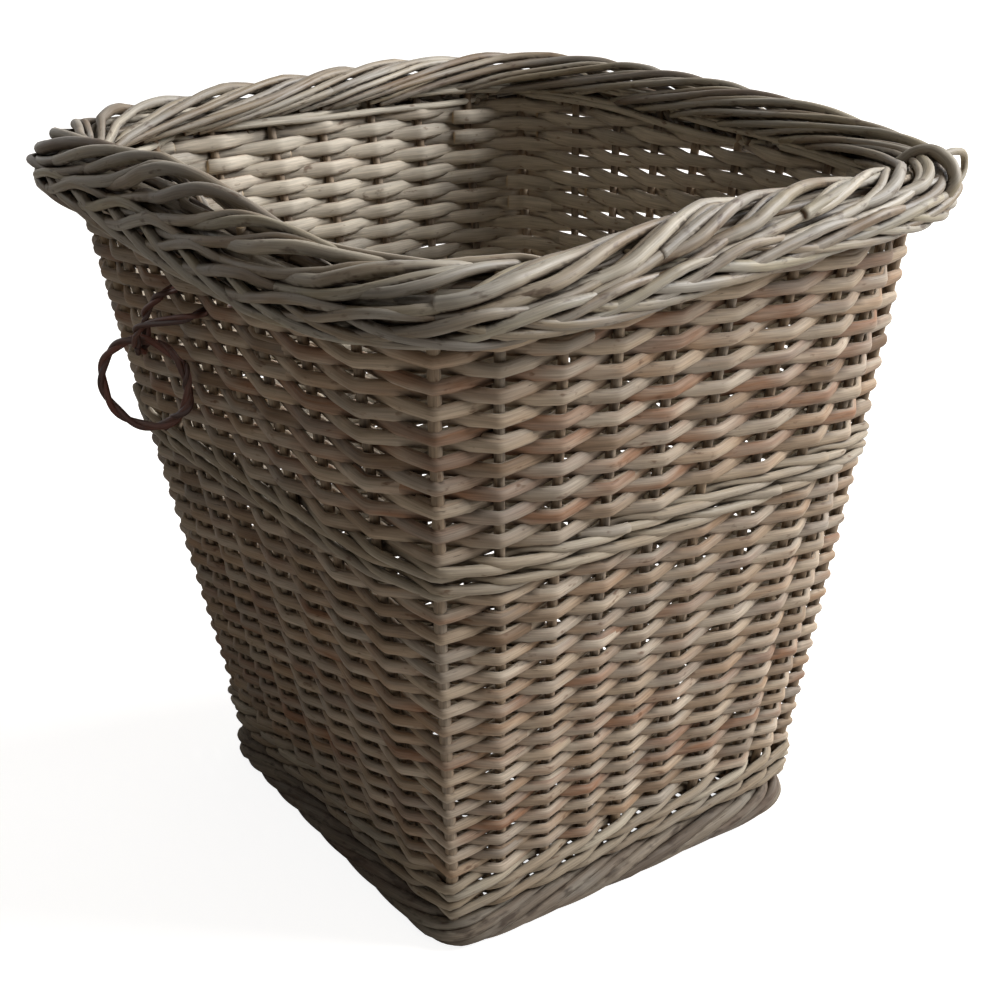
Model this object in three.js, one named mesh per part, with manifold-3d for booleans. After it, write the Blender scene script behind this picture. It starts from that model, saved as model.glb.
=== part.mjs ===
// A square wicker waste basket: a willow basket with flared, slightly bowed walls, a foot, a wide
// border and one small ring handle on a withy loop. Millimetres, +Z up, with the origin on the floor
// under the middle of the whole. The side with the ring faces -Y.

import * as THREE from 'three'
import { mergeVertices } from 'three/addons/utils/BufferGeometryUtils.js'
import Module from 'manifold-3d'

const wasm = await Module()
wasm.setup()

// Rods
const STAKE_D = 3.8 // upright stakes
const POST_D = 5.4 // corner posts
const WEAVER_D = 4.2 // rods of the weave
const BASE_STICK_D = 6
const STAKES_PER_SIDE = 8
const BASE_STICKS = 6
const SEAT_GAP = 0.3 // between pieces that lie on each other
const WALL = STAKE_D + 2 * WEAVER_D // a weaver passes each stake on either side

// Heights of the bands, from the floor up
const FOOT_HEIGHT = 15.7
const BASE_WALE_HEIGHT = 18
const LOWER_SIDING_HEIGHT = 137
const MIDDLE_WALE_HEIGHT = 14.4
const UPPER_SIDING_HEIGHT = 93
const TOP_WALE_HEIGHT = 10.4
const FLARE_HEIGHT = 253 // from the wall's bottom to the border's lower edge
const ROLL_HEIGHT = 11.7

// The weave of the siding: each row goes outside one upright and inside the next
const LOWER_ROWS = 29
const UPPER_ROWS = 20
const WEAVE_DEPTH = 2.4 // how far its face steps back where the rod goes behind an upright

// Half widths across the flats, and how square each outline is: 2 is a circle, 9 nearly a square
const BASE_HALF = 94
const BASE_SQUARE = 8.5
const FOOT_PROUD = 2.5 // outside the wall above it
const FOOT_WIDTH = 14
const FOOT_HALF = BASE_HALF + FOOT_PROUD
const TOP_HALF = 135.5
const TOP_SQUARE = 4.8
const BORDER_PROUD = 12.5 // the plait, outside the wall that it goes round
const PLAIT_CLEAR = 0.9 // between the two, where both have flat facets
const BORDER_SQUARE = 5.6
const BORDER_HALF = TOP_HALF + BORDER_PROUD
const ROLL_SETBACK = 1.5 // the roll, inside the plait's edge
const ROLL_WIDTH = 16
const ROLL_HALF = BORDER_HALF - ROLL_SETBACK

// Where the stakes stand along a side, from corner to corner (-1 to 1), at the foot and under the
// border. The sides without an entry have theirs evenly spaced.
const STAKE_SHARES = {
  right: {
    low: [-0.78, -0.53, -0.3, -0.09, 0.14, 0.41, 0.68, 0.86],
    high: [-0.85, -0.65, -0.44, -0.21, 0.03, 0.31, 0.57, 0.8],
  },
  front: {
    low: [-0.81, -0.63, -0.44, -0.23, 0.02, 0.26, 0.52, 0.78],
    high: [-0.78, -0.56, -0.35, -0.13, 0.08, 0.3, 0.54, 0.78],
  },
  left: {
    low: [-0.77, -0.53, -0.29, -0.05, 0.18, 0.42, 0.65, 0.86],
    high: [-0.8, -0.565, -0.33, -0.09, 0.145, 0.41, 0.66, 0.88],
  },
}

// The hand-made skew of the base against the top
const BASE_TURN = THREE.MathUtils.degToRad(-4)
const BASE_SHIFT_X = 5.5
const BASE_SHIFT_Y = 8.5

// The woven base, held inside the foot and under the base wale
const BASE_THICKNESS = 9.4

// The ring handle, hanging plumb with its plane turned from the wall
const RING_R = 17.2 // to the middle of the rod
const RING_ROD_D = 4
const RING_X = -29.5
const RING_DROP = 51.4 // its middle, under the border
const RING_TURN = THREE.MathUtils.degToRad(38)
const RING_CLEAR = 1.77 // off the wall

// The withy loop that holds it. Each end goes through the weave at an x and some way under the
// border, and leaves the ring's rod with a lean along the wall and a rise.
const LOOP_D = 3.6
const LOOP_SLACK = 0.7 // round the ring's rod, and off the wall
const LOOP_LEFT_X = -23
const LOOP_LEFT_DROP = 15
const LOOP_LEFT_SAG = 2 // lower outside the wall than in it
const LOOP_LEFT_LEAN = 1
const LOOP_LEFT_RISE = 9
const LOOP_RIGHT_X = -3.5
const LOOP_RIGHT_DROP = 19
const LOOP_RIGHT_SAG = 1
const LOOP_RIGHT_LEAN = 5
const LOOP_RIGHT_RISE = 8
const LOOP_BOW = 1 // the right end's curve out of the weave
const LOOP_END = 4 // how far each end reaches past the wall's inner face

// Facets
const PLAN_STEPS = 40
const STAKE_SIDES = 6
const ROD_SIDES = 8
const RING_STEPS = 32

const COLOURS = {
  siding: 0x9a8469,
  wale: 0xa89578,
  border: 0xa39781,
  foot: 0x6e6250,
  stake: 0xb4a184,
  base: 0x8f7a5e,
  ring: 0x4a271b,
}

// Levels, each worked out from the one below
const WALL_BOTTOM = FOOT_HEIGHT + SEAT_GAP
const LOWER_SIDING_Z = WALL_BOTTOM + BASE_WALE_HEIGHT + SEAT_GAP
const MIDDLE_WALE_Z = LOWER_SIDING_Z + LOWER_SIDING_HEIGHT + SEAT_GAP
const UPPER_SIDING_Z = MIDDLE_WALE_Z + MIDDLE_WALE_HEIGHT + SEAT_GAP
const TOP_WALE_Z = UPPER_SIDING_Z + UPPER_SIDING_HEIGHT + SEAT_GAP
const WALL_TOP = TOP_WALE_Z + TOP_WALE_HEIGHT
const BORDER_LOW = WALL_BOTTOM + FLARE_HEIGHT
const PLAIT_Z = BORDER_LOW + SEAT_GAP
const PLAIT_HEIGHT = WALL_TOP - PLAIT_Z
const ROLL_Z = WALL_TOP + SEAT_GAP
const BASE_TOP = FOOT_HEIGHT

const basket = new THREE.Group()

function addPiece(name, geometry, colour) {
  const material = new THREE.MeshStandardMaterial({ color: COLOURS[colour], roughness: 0.75, metalness: 0 })
  const mesh = new THREE.Mesh(geometry, material)
  mesh.name = name
  basket.add(mesh)
  return mesh
}

// How far up the wall a height is: 0 at the base wale, 1 at the border's lower edge, and a little
// more inside the border
function rise(z) {
  return Math.max((z - WALL_BOTTOM) / FLARE_HEIGHT, 0)
}

// The wall's outer face at a height
function wallHalf(z) {
  return BASE_HALF + (TOP_HALF - BASE_HALF) * rise(z)
}

function wallSquare(z) {
  return 1 / THREE.MathUtils.lerp(1 / BASE_SQUARE, 1 / TOP_SQUARE, rise(z))
}

// How much of the skew is left at a height
function skewLeft(z) {
  return Math.max(1 - rise(z), 0)
}

// Turns and shifts a point of the plan by the skew that the basket has at its height
function skewed(x, y, z) {
  const left = skewLeft(z)
  const spot = new THREE.Vector2(x, y).rotateAround(new THREE.Vector2(), BASE_TURN * left)
  return new THREE.Vector3(spot.x + BASE_SHIFT_X * left, spot.y + BASE_SHIFT_Y * left, z)
}

// A point of a rounded square outline. Equal steps of the angle crowd together at the corners.
function outlinePoint(angle, half, square, z) {
  const c = Math.cos(angle)
  const s = Math.sin(angle)
  const x = half * Math.sign(c) * Math.pow(Math.abs(c), 2 / square)
  const y = half * Math.sign(s) * Math.pow(Math.abs(s), 2 / square)
  return skewed(x, y, z)
}

// A closed skin round the basket, from equal sections that each list the points of one upright cut,
// from the inner lower one along the bottom, up the outside and back. The facets' diagonals take
// turns, so that each proud point of the weave stands alone.
function skin(sections) {
  const positions = sections.flat().flatMap((point) => point.toArray())
  const index = []
  const corners = sections[0].length
  for (let i = 0; i < sections.length; i++) {
    const here = i * corners
    const next = ((i + 1) % sections.length) * corners
    for (let j = 0; j < corners; j++) {
      const k = (j + 1) % corners
      if ((i + j) % 2 === 0) index.push(here + j, next + j, here + k, next + j, next + k, here + k)
      else index.push(here + j, next + k, here + k, here + j, next + j, next + k)
    }
  }
  const geometry = new THREE.BufferGeometry()
  geometry.setAttribute('position', new THREE.Float32BufferAttribute(positions, 3))
  geometry.setIndex(index)
  return geometry
}

// A smooth band, whose section lists its corners as [half, square, z]
function band(section) {
  const angles = Array.from({ length: PLAN_STEPS }, (_, i) => (i / PLAN_STEPS) * 2 * Math.PI)
  return skin(angles.map((angle) => section.map(([half, square, z]) => outlinePoint(angle, half, square, z))))
}

// A waled band of the wall, as thick as the weave
function waleBand(low, height) {
  const levels = [low, low + height]
  const outside = levels.map((z) => [wallHalf(z), wallSquare(z), z])
  const inside = levels.map((z) => [wallHalf(z) - WALL, wallSquare(z), z])
  return band([inside.shift(), ...outside, ...inside.reverse()])
}

// A randed band of the wall, with a point for each row on each upright. Where the row goes outside,
// the outer face is proud and the inner one steps back, and the other way round.
function sidingBand(low, height, rows) {
  const pitch = height / rows
  const levels = [low, ...Array.from({ length: rows }, (_, row) => low + (row + 0.5) * pitch), low + height]
  return skin(uprights().map(({ side, shares }, place) => {
    const face = (z, row, outside) => {
      const behind = (place + row) % 2 === (outside ? 0 : 1)
      const inset = outside ? 0 : WALL
      const step = behind ? WEAVE_DEPTH : 0
      return wallPoint(side, shareAt(shares, z), z, inset + (outside ? step : -step))
    }
    const outer = levels.map((z, row) => face(z, row, true))
    const inner = levels.map((z, row) => face(z, row, false))
    return [inner.shift(), ...outer, ...inner.reverse()]
  }))
}

function toSolid(geometry) {
  const bare = geometry.clone()
  bare.deleteAttribute('normal')
  bare.deleteAttribute('uv')
  const merged = mergeVertices(bare, 1e-5)
  const mesh = new wasm.Mesh({
    numProp: 3,
    vertProperties: new Float32Array(merged.attributes.position.array),
    triVerts: new Uint32Array(merged.index.array),
  })
  return new wasm.Manifold(mesh)
}

function toGeometry(solid) {
  const mesh = solid.getMesh()
  const geometry = new THREE.BufferGeometry()
  geometry.setAttribute('position', new THREE.BufferAttribute(mesh.vertProperties, 3))
  geometry.setIndex(new THREE.BufferAttribute(mesh.triVerts, 1))
  return geometry
}

// A round rod along a smooth path
function rod(points, diameter, sides, steps) {
  const circle = new THREE.Shape()
  for (let i = 0; i < sides; i++) {
    const angle = (i / sides) * 2 * Math.PI
    const x = (diameter / 2) * Math.cos(angle)
    const y = (diameter / 2) * Math.sin(angle)
    if (i === 0) circle.moveTo(x, y)
    else circle.lineTo(x, y)
  }
  circle.closePath()
  const path = new THREE.CatmullRomCurve3(points)
  return new THREE.ExtrudeGeometry(circle, { steps, extrudePath: path, bevelEnabled: false })
}

// A point of the wall on one side, some way in from its outer face, at a share of the way from
// corner to corner (-1 to 1)
function wallPoint(side, share, z, inset) {
  const half = wallHalf(z) - inset
  const square = wallSquare(z)
  const along = share * Math.pow(2, -1 / square)
  const out = Math.pow(1 - Math.pow(Math.abs(along), square), 1 / square)
  const spot = new THREE.Vector2(out * half, along * half).rotateAround(new THREE.Vector2(), side * Math.PI / 2)
  return skewed(spot.x, spot.y, z)
}

// An upright's share along its side runs from one value at the foot to another under the border
function shareAt(shares, z) {
  return THREE.MathUtils.lerp(shares[0], shares[1], Math.min(rise(z), 1))
}

// The path of an upright, up the middle of the wall's thickness
function uprightPath({ side, shares }, low, high) {
  return [low, (low + high) / 2, high].map((z) => wallPoint(side, shareAt(shares, z), z, WALL / 2))
}

// Each upright as its name, its side, its shares along the side and its diameter
function uprights() {
  const sides = ['right', 'back', 'left', 'front']
  const corners = ['right_back', 'left_back', 'left_front', 'right_front']
  const list = []
  for (let side = 0; side < sides.length; side++) {
    const placed = STAKE_SHARES[sides[side]]
    for (let i = 1; i <= STAKES_PER_SIDE; i++) {
      const even = -1 + (2 * i) / (STAKES_PER_SIDE + 1)
      const shares = placed ? [placed.low[i - 1], placed.high[i - 1]] : [even, even]
      list.push({ name: `stake_${sides[side]}_${i}`, side, shares, diameter: STAKE_D })
    }
    list.push({ name: `corner_post_${corners[side]}`, side, shares: [1, 1], diameter: POST_D })
  }
  return list
}

// The channels that the uprights run in, reaching past both ends of the wall
function uprightChannels() {
  const past = 1
  let channels = null
  for (const upright of uprights()) {
    const path = uprightPath(upright, WALL_BOTTOM - past, WALL_TOP + past)
    const channel = toSolid(rod(path, upright.diameter + 2 * SEAT_GAP, STAKE_SIDES, 2))
    channels = channels ? channels.add(channel) : channel
  }
  return channels
}

// The foot: a thick rope of rods under the wall's edge, flat where it stands
function addFoot() {
  const inner = FOOT_HALF - FOOT_WIDTH
  const round = FOOT_WIDTH / 5
  const section = [
    [inner + round, BASE_SQUARE, 0],
    [FOOT_HALF - round, BASE_SQUARE, 0],
    [FOOT_HALF, BASE_SQUARE, round],
    [FOOT_HALF, BASE_SQUARE, FOOT_HEIGHT - round],
    [FOOT_HALF - round, BASE_SQUARE, FOOT_HEIGHT],
    [inner, BASE_SQUARE, FOOT_HEIGHT],
    [inner, BASE_SQUARE, round],
  ]
  addPiece('foot_border', band(section), 'foot')
}

// The woven base inside the foot, with its stout sticks running front to back inside it
function addBase() {
  const half = FOOT_HALF - FOOT_WIDTH - SEAT_GAP
  const bottom = BASE_TOP - BASE_THICKNESS
  const outline = new THREE.Shape()
  for (let i = 0; i < PLAN_STEPS; i++) {
    const spot = outlinePoint((i / PLAN_STEPS) * 2 * Math.PI, half, BASE_SQUARE, bottom)
    if (i === 0) outline.moveTo(spot.x, spot.y)
    else outline.lineTo(spot.x, spot.y)
  }
  outline.closePath()
  const plate = new THREE.ExtrudeGeometry(outline, { depth: BASE_THICKNESS, bevelEnabled: false })
  plate.translate(0, 0, bottom)
  let weave = toSolid(plate)
  const level = bottom + BASE_THICKNESS / 2
  const past = 5
  for (let i = 0; i < BASE_STICKS; i++) {
    const x = ((2 * i + 1) / BASE_STICKS - 1) * half * 0.92
    const reach = half * Math.pow(1 - Math.pow(Math.abs(x) / half, BASE_SQUARE), 1 / BASE_SQUARE)
    const ends = (length) => [skewed(x, -length, level), skewed(x, length, level)]
    const endGap = BASE_STICK_D / 2
    addPiece(`base_stick_${i + 1}`, rod(ends(reach - endGap), BASE_STICK_D, ROD_SIDES, 1), 'base')
    weave = weave.subtract(toSolid(rod(ends(reach + past), BASE_STICK_D + 2 * SEAT_GAP, ROD_SIDES, 1)))
  }
  addPiece('base_weave', toGeometry(weave), 'base')
}

// The wall's woven bands round the uprights
function addWall() {
  const channels = uprightChannels()
  const holes = toSolid(loopGeometry(LOOP_D + 2 * SEAT_GAP))
  const bands = [
    ['base_wale', waleBand(WALL_BOTTOM, BASE_WALE_HEIGHT), 'wale'],
    ['lower_siding', sidingBand(LOWER_SIDING_Z, LOWER_SIDING_HEIGHT, LOWER_ROWS), 'siding'],
    ['middle_wale', waleBand(MIDDLE_WALE_Z, MIDDLE_WALE_HEIGHT), 'wale'],
    ['upper_siding', sidingBand(UPPER_SIDING_Z, UPPER_SIDING_HEIGHT, UPPER_ROWS), 'siding'],
    ['top_wale', waleBand(TOP_WALE_Z, TOP_WALE_HEIGHT), 'wale'],
  ]
  for (const [name, geometry, colour] of bands) {
    const solid = toSolid(geometry).subtract(channels).subtract(holes)
    addPiece(name, toGeometry(solid), colour)
  }
  for (const upright of uprights()) {
    const path = uprightPath(upright, WALL_BOTTOM + SEAT_GAP, WALL_TOP - SEAT_GAP)
    addPiece(upright.name, rod(path, upright.diameter, STAKE_SIDES, 2), 'stake')
  }
}

// The border: a plait that flares out round the top of the wall, and a thick roll of rods on both
function addBorder() {
  const rollInner = ROLL_HALF - ROLL_WIDTH
  const plait = [
    [wallHalf(PLAIT_Z) + PLAIT_CLEAR, wallSquare(PLAIT_Z), PLAIT_Z],
    [wallHalf(PLAIT_Z) + PLAIT_CLEAR + 2, TOP_SQUARE, PLAIT_Z],
    [BORDER_HALF - 3, BORDER_SQUARE, PLAIT_Z + PLAIT_HEIGHT * 0.25],
    [BORDER_HALF, BORDER_SQUARE, PLAIT_Z + PLAIT_HEIGHT * 0.5],
    [BORDER_HALF - 2, BORDER_SQUARE, WALL_TOP],
    [wallHalf(WALL_TOP) + PLAIT_CLEAR, wallSquare(WALL_TOP), WALL_TOP],
  ]
  addPiece('border_plait', band(plait), 'border')
  const edge = ROLL_WIDTH / 4
  const top = ROLL_Z + ROLL_HEIGHT
  const rollSquare = BORDER_SQUARE
  const roll = [
    [rollInner + edge, rollSquare, ROLL_Z],
    [ROLL_HALF - edge, rollSquare, ROLL_Z],
    [ROLL_HALF, rollSquare, ROLL_Z + edge],
    [ROLL_HALF, rollSquare, top - edge],
    [ROLL_HALF - edge, rollSquare, top],
    [rollInner + edge, rollSquare, top],
    [rollInner, rollSquare, top - edge],
    [rollInner, rollSquare, ROLL_Z + edge],
  ]
  addPiece('border_roll', band(roll), 'border')
}

// The wall's outer or inner face on the ring's side, at an x and a height
function frontWall(x, z, inset) {
  const left = skewLeft(z)
  const half = wallHalf(z) - inset
  const square = wallSquare(z)
  const local = (x - BASE_SHIFT_X * left) / half
  const y = -half * Math.pow(1 - Math.pow(Math.abs(local), square), 1 / square)
  return new THREE.Vector3(x, y + BASE_SHIFT_Y * left, z)
}

// The ring's middle, where its edge next to the wall just clears it
function ringMiddle() {
  const z = BORDER_LOW - RING_DROP
  const edge = RING_R * Math.sin(RING_TURN) + RING_ROD_D / 2
  const wall = frontWall(RING_X + RING_R * Math.cos(RING_TURN), z, 0)
  return new THREE.Vector3(RING_X, wall.y - RING_CLEAR - edge, z)
}

// The withy loop: from inside the wall out through the weave, down and round under the ring's rod,
// and back in on the other side of a stake
function loopGeometry(diameter) {
  const across = new THREE.Vector3(Math.sin(RING_TURN), -Math.cos(RING_TURN), 0)
  const ringTop = ringMiddle().add(new THREE.Vector3(0, 0, RING_R))
  const bend = RING_ROD_D / 2 + LOOP_D / 2 + LOOP_SLACK
  const round = (degrees, along, up) => {
    const angle = THREE.MathUtils.degToRad(degrees)
    const spot = ringTop.clone().addScaledVector(across, bend * Math.cos(angle))
    return spot.add(new THREE.Vector3(along, 0, bend * Math.sin(angle) + up))
  }
  const clear = LOOP_D / 2 + LOOP_SLACK
  const leftZ = BORDER_LOW - LOOP_LEFT_DROP
  const rightZ = BORDER_LOW - LOOP_RIGHT_DROP
  const points = [
    frontWall(LOOP_RIGHT_X, rightZ, WALL + LOOP_END),
    frontWall(LOOP_RIGHT_X, rightZ, WALL / 2),
    frontWall(LOOP_RIGHT_X, rightZ - LOOP_RIGHT_SAG, -clear - LOOP_BOW),
    round(0, LOOP_RIGHT_LEAN, LOOP_RIGHT_RISE),
    ...[0, -45, -90, -135, -180].map((degrees) => round(degrees, 0, 0)),
    round(-180, LOOP_LEFT_LEAN, LOOP_LEFT_RISE),
    frontWall(LOOP_LEFT_X, leftZ - LOOP_LEFT_SAG, -clear),
    frontWall(LOOP_LEFT_X, leftZ, WALL / 2),
    frontWall(LOOP_LEFT_X, leftZ, WALL + LOOP_END),
  ]
  return rod(points, diameter, ROD_SIDES, 48)
}

// The ring handle, a round rod bent into a ring
function addRing() {
  const profile = []
  for (let i = 0; i <= ROD_SIDES; i++) {
    const angle = (i / ROD_SIDES) * 2 * Math.PI
    const radius = RING_R + (RING_ROD_D / 2) * Math.cos(angle)
    profile.push(new THREE.Vector2(radius, (RING_ROD_D / 2) * Math.sin(angle)))
  }
  const ring = addPiece('ring_handle', new THREE.LatheGeometry(profile, RING_STEPS), 'ring')
  ring.rotation.z = RING_TURN
  ring.position.copy(ringMiddle())
  addPiece('ring_loop', loopGeometry(LOOP_D), 'ring')
}

addFoot()
addBase()
addWall()
addBorder()
addRing()

// The ring hangs out past the border, so the basket stands back by half of that
const ringReach = RING_R * Math.sin(RING_TURN) + RING_ROD_D / 2 - ringMiddle().y
basket.position.y = (ringReach - BORDER_HALF) / 2

export default basket
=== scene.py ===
"""The looks of a square wicker waste basket: every willow rod of its weave, border and foot, laid as
the maker lays it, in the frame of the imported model. The plan is worked out in millimetres, on the
basket's own measures, and the meshes are made in metres."""

import math
from functools import cache

import bpy
import numpy as np
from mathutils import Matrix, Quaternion, Vector


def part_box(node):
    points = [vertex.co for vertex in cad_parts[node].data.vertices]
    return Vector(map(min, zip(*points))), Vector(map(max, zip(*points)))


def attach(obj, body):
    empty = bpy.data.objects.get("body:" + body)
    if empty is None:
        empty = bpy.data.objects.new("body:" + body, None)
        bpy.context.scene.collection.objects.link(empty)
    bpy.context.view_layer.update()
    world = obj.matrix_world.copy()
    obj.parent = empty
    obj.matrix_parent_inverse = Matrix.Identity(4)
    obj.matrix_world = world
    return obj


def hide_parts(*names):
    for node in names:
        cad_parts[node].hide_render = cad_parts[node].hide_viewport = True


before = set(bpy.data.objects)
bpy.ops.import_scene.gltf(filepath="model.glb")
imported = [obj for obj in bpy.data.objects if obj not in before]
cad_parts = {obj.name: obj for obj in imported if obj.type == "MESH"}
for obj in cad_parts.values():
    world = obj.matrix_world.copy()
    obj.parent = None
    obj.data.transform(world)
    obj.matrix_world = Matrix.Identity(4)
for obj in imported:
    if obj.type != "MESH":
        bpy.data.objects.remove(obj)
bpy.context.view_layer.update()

MM = 0.001


# Heights of the bands, read from the frame

def heights(node):
    """The lowest and highest level of a node of the frame, in millimetres."""
    low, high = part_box(node)
    return low.z / MM, high.z / MM


BASE_WALE = heights("base_wale")
LOWER_SIDING = heights("lower_siding")
MIDDLE_WALE = heights("middle_wale")
UPPER_SIDING = heights("upper_siding")
TOP_WALE = heights("top_wale")
WALL_BOTTOM = BASE_WALE[0]
WALL_TOP = TOP_WALE[1]
WALL = 12.2  # the wall's thickness, a stake with a rod on either side
BORDER_LOW = 269  # the border's lower edge, where the wall goes up inside it
BASE_LEVEL = sum(heights("base_stick_1")) / 2
FLOOR = 0

# The border's middle lies a little off the origin, because the ring hangs out on one side
border_low, border_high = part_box("border_plait")
MIDDLE_Y = (border_low.y + border_high.y) / 2 / MM

# Half widths across the flats, and how square each outline is: 2 is a circle, 9 nearly a square
BASE_HALF = 94
BASE_SQUARE = 11
FOLD = 0.86  # the weave turns sharply round the corner posts
TOP_HALF = 135.5
TOP_SQUARE = 4.8
BORDER_PROUD = 12.5  # the border's edge, outside the wall
BORDER_SQUARE = 5.25
BASE_TURN = math.radians(-4)  # the base lies a little askew under the border
BASE_SHIFT = (5.5, 8.5)

# Uprights, and their shares of the way along each side, at the foot and under the border
STAKE_D = 3.8
POST_D = 4.6
STAKE_PROUD = 0.2  # outside the middle of the wall
POST_PROUD = 0.5
PER_SIDE = 9  # eight stakes and the corner post that ends the side
UPRIGHTS = 4 * PER_SIDE
EVEN = [-1 + 2 * i / PER_SIDE for i in range(1, PER_SIDE)]
SIDES = ("right", "back", "left", "front")
CORNERS = ("right_back", "left_back", "left_front", "right_front")
STAKES_LOW = (
    [-0.78, -0.53, -0.3, -0.09, 0.14, 0.41, 0.68, 0.86],
    EVEN,
    [-0.77, -0.53, -0.29, -0.05, 0.18, 0.42, 0.65, 0.86],
    [-0.81, -0.63, -0.44, -0.23, 0.02, 0.26, 0.52, 0.78],
)
STAKES_HIGH = (
    [-0.85, -0.65, -0.44, -0.21, 0.03, 0.31, 0.57, 0.8],
    EVEN,
    [-0.8, -0.565, -0.33, -0.09, 0.145, 0.41, 0.66, 0.88],
    [-0.78, -0.56, -0.35, -0.13, 0.08, 0.3, 0.54, 0.78],
)

# Rods of the weave: how tall and how deep each kind lies in the wall
SIDING_TALL = 1.11  # times the distance between rows, as they are pressed together
SIDING_DEEP = 3.3
LEAN = 0.17  # how far a rod sinks for each millimetre outwards, as the wall leans out
BITE = 0.15  # how far rods and uprights press into each other
CORNER_FLAT = 0.33  # the share by which rods lie closer where they turn round a corner post
CORNER_REACH = 0.4  # how many bays from the post that lasts
TUCK_BAYS = 0.8  # where a rod ends, it goes into the wall over this share of a bay
TUCK_IN = 1.6
TUCK_UP = 0.6
LOWER_ROWS = 33
UPPER_ROWS = 20
LOWER_CLOSER = 0.07  # the lowest rows lie this share closer than the average
WALE_ROUNDS = 2
BASE_WALE_D = 4.1
BASE_WALE_LEAN = 4.2  # how far a rod climbs while it lies outside
MIDDLE_WALE_D = 3.7
MIDDLE_WALE_LEAN = -2.6
STEPS_PER_BAY = 8
BAY_STEPS = (0, 0.05, 0.13, 0.28, 0.5, 0.72, 0.87, 0.95)  # closest at the uprights, where rods bend
STEPS_ROUND = 300  # of a rod that goes round once and hardly bends
STEPS_PER_SPAN = 10  # between two control points of a rod's path
ROD_SIDES = 10
BORDER_ROD_SIDES = 12

# How far the border's crest and its lower edge stand above or below their level, by upright
CREST_LEVEL = 299.5
EDGE_LEVEL = 270
CREST_LIFT = [
    (0, -5), (2, -5), (4.3, 2.3), (6.5, 0), (9, -2.5), (13.5, 4), (18, 1.3), (21.5, 2), (27, -4.5),
    (31, 8), (33.2, 1), (34.8, -5), (36, -5),
]
EDGE_LIFT = [
    (0, 1), (3, 2.5), (6, 6), (9, 4), (18, 3), (27, 5), (29.4, 5), (31.1, -0.5), (33.5, -4), (36, 1),
]

chance = np.random.default_rng(41)


# The basket's plan

def rise(z):
    """How far up the wall a level is: 0 at its bottom, 1 at the border's lower edge."""
    return np.maximum((np.asarray(z, float) - WALL_BOTTOM) / (BORDER_LOW - WALL_BOTTOM), 0)


def lerp(a, b, t):
    return a + (b - a) * t


def share_of(stake, up):
    """Where a stake number lies along its side, from -1 to 1. Numbers in between lie in between."""
    side = np.floor(stake / PER_SIDE).astype(int) % 4
    step = stake - PER_SIDE * np.floor(stake / PER_SIDE)
    share = np.zeros(len(stake))
    for k in range(4):
        here = side == k
        low = np.interp(step[here], range(PER_SIDE + 1), [-1, *STAKES_LOW[k], 1])
        high = np.interp(step[here], range(PER_SIDE + 1), [-1, *STAKES_HIGH[k], 1])
        share[here] = lerp(low, high, up[here])
    return side, share


def on_plan(stake, z, half, square, fold=0.995):
    """Points of a rounded square outline at a level, with the skew that the basket has there. From
    the share fold of each side on, the outline goes straight to a sharp corner."""
    up = np.minimum(rise(z), 1)
    side, share = share_of(stake, up)
    far = np.abs(share)
    bent = np.minimum(far, fold) * 2 ** (-1 / square)
    out = (1 - bent ** square) ** (1 / square)
    slope = (bent / out) ** (square - 1)
    corner = (out + slope * bent) / (1 + slope)
    straight = (corner - bent) * np.maximum(far - fold, 0) / (1 - fold)
    along = np.sign(share) * (bent + straight)
    out = out - slope * straight
    turn = side * math.pi / 2 + BASE_TURN * (1 - up)
    x = half * (out * np.cos(turn) - along * np.sin(turn)) + BASE_SHIFT[0] * (1 - up)
    y = half * (out * np.sin(turn) + along * np.cos(turn)) + BASE_SHIFT[1] * (1 - up)
    return np.stack([x, y + MIDDLE_Y, z], axis=1)


def wall_outline(z):
    """Half the width across the wall's outer faces at a level, and how square it is there."""
    up = rise(z)
    return lerp(BASE_HALF, TOP_HALF, up), 1 / lerp(1 / BASE_SQUARE, 1 / TOP_SQUARE, up)


def in_wall(stake, z, out):
    """Points in the wall: out is how far they lie outside the middle of its thickness."""
    stake, z, out = np.broadcast_arrays(*(np.asarray(v, float) for v in (stake, z, out)))
    half, square = wall_outline(z)
    return on_plan(stake, z, half - WALL / 2 + out, square, FOLD)


def in_border(stake, z, out):
    """Points in the border: out is how far they lie outside the wall's outer face."""
    stake, z, out = np.broadcast_arrays(*(np.asarray(v, float) for v in (stake, z, out)))
    reach = np.clip(out / BORDER_PROUD, 0, 1)
    square = lerp(TOP_SQUARE, BORDER_SQUARE, reach)
    crest = np.interp(stake % UPRIGHTS, *zip(*CREST_LIFT))
    edge = np.interp(stake % UPRIGHTS, *zip(*EDGE_LIFT))
    lift = lerp(edge, crest, np.clip((z - EDGE_LEVEL) / (CREST_LEVEL - EDGE_LEVEL), 0, 1))
    return on_plan(stake, z + lift, TOP_HALF + out, square)


def wander(t, length, size, seed):
    """A slow, uneven drift of the given size, with swells about as long as length."""
    dice = np.random.default_rng(seed)
    drift = np.zeros(len(t))
    for k in (1, 1.7, 2.9):
        drift += np.sin(t * 2 * math.pi * k / length + dice.uniform(0, 6.3)) / k
    return drift * size / 1.4


# Rods

def smooth_line(points, steps):
    """A curve through control points, with so many steps between each two of them."""
    p = np.asarray(points, float)
    p = np.vstack([2 * p[0] - p[1], p, 2 * p[-1] - p[-2]])
    t = np.linspace(0, 1, steps, endpoint=False)[:, None]
    spans = []
    for a, b, c, d in zip(p, p[1:], p[2:], p[3:]):
        spans.append(b + 0.5 * t * (c - a + t * (2 * a - 5 * b + 4 * c - d + t * (3 * (b - c) + d - a))))
    return np.vstack([*spans, p[-2][None]])


def unit(v):
    return v / np.maximum(np.linalg.norm(v, axis=-1, keepdims=True), 1e-9)


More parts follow.
